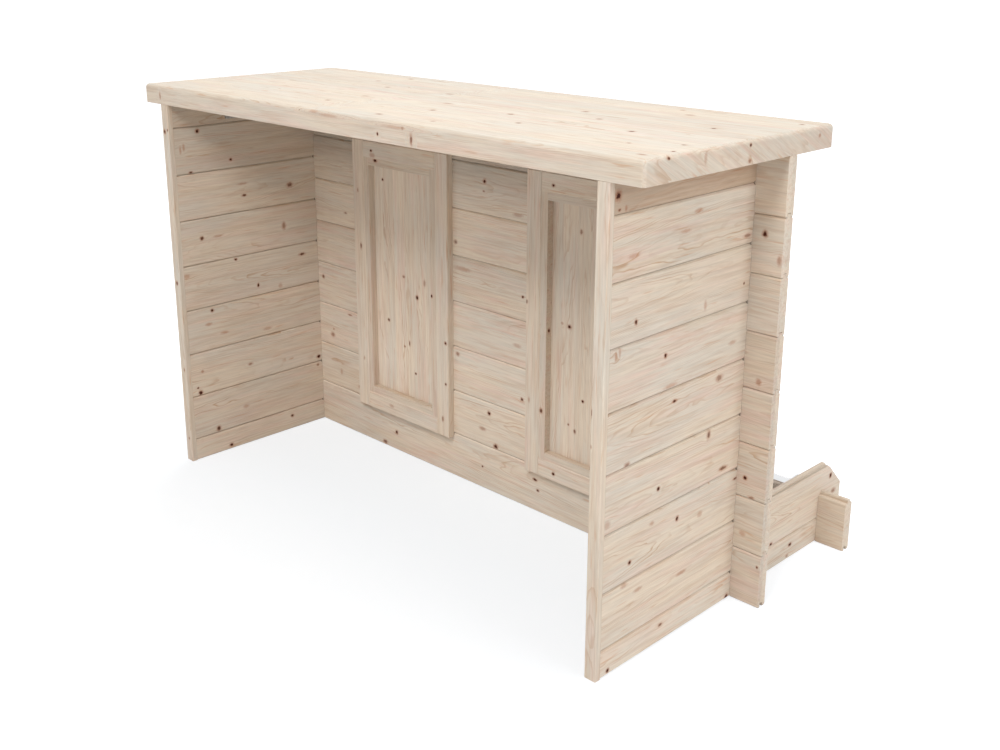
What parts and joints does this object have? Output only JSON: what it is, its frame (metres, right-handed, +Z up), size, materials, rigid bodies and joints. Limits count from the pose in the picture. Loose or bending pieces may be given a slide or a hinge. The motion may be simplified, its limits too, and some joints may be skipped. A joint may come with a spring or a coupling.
{
  "type": "garden bar",
  "caption": "Garden bar counter of interlocking horizontal softwood boards, with a thick rounded top, framed panels in the front wall and a foot rest with a round steel rail.",
  "frame": {"origin": "centre of the bar's outline on the ground", "axes": "+X along the bar, +Y towards the guests' side with the foot rest, +Z up"},
  "size_m": [1.604, 0.897, 1.015],
  "materials": {
    "wall_wood": "planed, unpainted",
    "trim_wood": "planed, unpainted",
    "panel_wood": "planed, unpainted",
    "top_wood": "planed and sanded, unpainted",
    "rail_steel": "polished",
    "bracket_steel": "galvanised"
  },
  "bodies": {
    "root": {"countertop": "top_wood", "foot_rail": "rail_steel", "front_wall_board_1": "wall_wood", "front_wall_board_2": "wall_wood", "front_wall_board_3": "wall_wood", "front_wall_board_4": "wall_wood", "front_wall_board_5": "wall_wood", "front_wall_board_6": "wall_wood", "front_wall_board_7": "wall_wood", "front_wall_board_8": "wall_wood", "kick_board": "wall_wood", "left_counter_bracket": "bracket_steel", "left_end_batten": "trim_wood", "left_panel_board": "panel_wood", "left_panel_inside_casing": "trim_wood", "left_panel_lining": "trim_wood", "left_panel_outside_casing": "trim_wood", "left_rail_flange": "rail_steel", "left_wall_board_1": "wall_wood", "left_wall_board_2": "wall_wood", "left_wall_board_3": "wall_wood", "left_wall_board_4": "wall_wood", "left_wall_board_5": "wall_wood", "left_wall_board_6": "wall_wood", "left_wall_board_7": "wall_wood", "left_wall_board_8": "wall_wood", "left_wall_board_9": "wall_wood", "right_counter_bracket": "bracket_steel", "right_end_batten": "trim_wood", "right_panel_board": "panel_wood", "right_panel_inside_casing": "trim_wood", "right_panel_lining": "trim_wood", "right_panel_outside_casing": "trim_wood", "right_rail_flange": "rail_steel", "right_wall_board_1": "wall_wood", "right_wall_board_2": "wall_wood", "right_wall_board_3": "wall_wood", "right_wall_board_4": "wall_wood", "right_wall_board_5": "wall_wood", "right_wall_board_6": "wall_wood", "right_wall_board_7": "wall_wood", "right_wall_board_8": "wall_wood", "right_wall_board_9": "wall_wood"}
  },
  "joints": []
}
